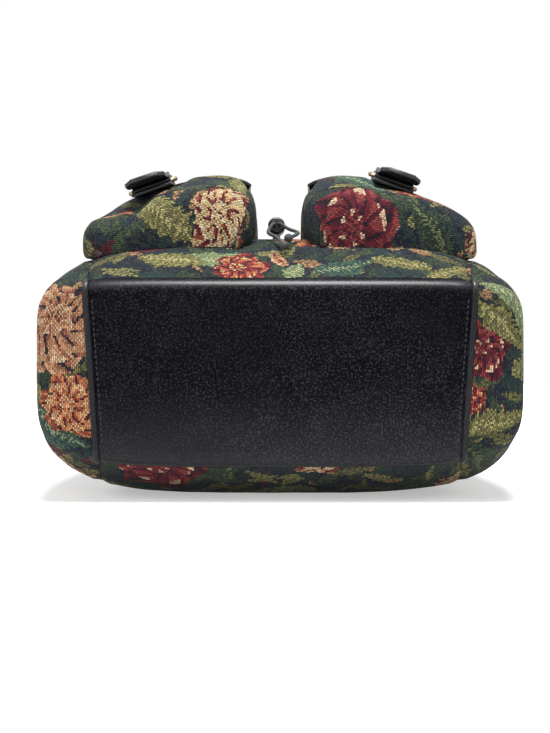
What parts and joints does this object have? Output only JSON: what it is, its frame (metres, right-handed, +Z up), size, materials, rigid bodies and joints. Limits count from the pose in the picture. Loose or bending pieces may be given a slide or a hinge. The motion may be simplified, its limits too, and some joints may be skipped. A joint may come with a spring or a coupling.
{
  "type": "backpack",
  "caption": "Small drawstring backpack of floral tapestry and black leather with two buckled front pockets, a leather base and shoulder straps, lying on its back.",
  "frame": {"origin": "on the floor, in the middle of the rectangle that the bag covers as it lies on its back", "axes": "+Y from the leather base to the gathered mouth, +Z up from the back panel to the front pockets, +X to the wearer's right"},
  "size_m": [0.2982, 0.4674, 0.212],
  "materials": {
    "tapestry": "woven floral jacquard on navy",
    "leather": "pebbled, satin",
    "strap_leather": "smooth, satin, stitched edges",
    "piping": "smooth, satin",
    "lining": "plain woven nylon",
    "cord": "braided",
    "lock": "satin moulded",
    "brass": "antique, brushed",
    "board": "grey pulp board"
  },
  "bodies": {
    "bag": {"back_panel": "tapestry", "base_binding_left": "piping", "base_binding_right": "piping", "base_board": "board", "base_panel": "leather", "carry_handle": "strap_leather", "drawstring_loop": "cord", "drawstring_tail_left": "cord", "drawstring_tail_right": "cord", "flap_snap_socket": "brass", "flap_snap_stud": "brass", "front_panel": "tapestry", "lining_back": "lining", "lining_front": "lining", "main_flap": "leather", "mouth_collar_back": "tapestry", "mouth_collar_front": "tapestry", "pocket_buckle_left": "brass", "pocket_buckle_right": "brass", "pocket_flap_left": "leather", "pocket_flap_right": "leather", "pocket_front_left": "tapestry", "pocket_front_right": "tapestry", "pocket_gusset_left": "tapestry", "pocket_gusset_right": "tapestry", "pocket_prong_left": "brass", "pocket_prong_right": "brass", "pocket_strap_left": "strap_leather", "pocket_strap_right": "strap_leather", "pocket_tab_left": "strap_leather", "pocket_tab_right": "strap_leather", "shoulder_buckle_left": "brass", "shoulder_buckle_right": "brass", "shoulder_keeper_left": "strap_leather", "shoulder_keeper_right": "strap_leather", "shoulder_prong_left": "brass", "shoulder_prong_right": "brass", "shoulder_strap_lower_left": "strap_leather", "shoulder_strap_lower_right": "strap_leather", "shoulder_strap_upper_left": "strap_leather", "shoulder_strap_upper_right": "strap_leather", "shoulder_tab_left": "strap_leather", "shoulder_tab_right": "strap_leather", "side_panel_left": "tapestry", "side_panel_right": "tapestry", "tail_knot_left": "cord", "tail_knot_right": "cord", "yoke_patch": "strap_leather"},
    "lock": {"cord_lock": "lock"}
  },
  "joints": [
    {"name": "cord_lock_slide", "type": "slide", "parent": "bag", "child": "lock", "axis": [0, 1, 0], "range_m": [0, 0.043]}
  ]
}
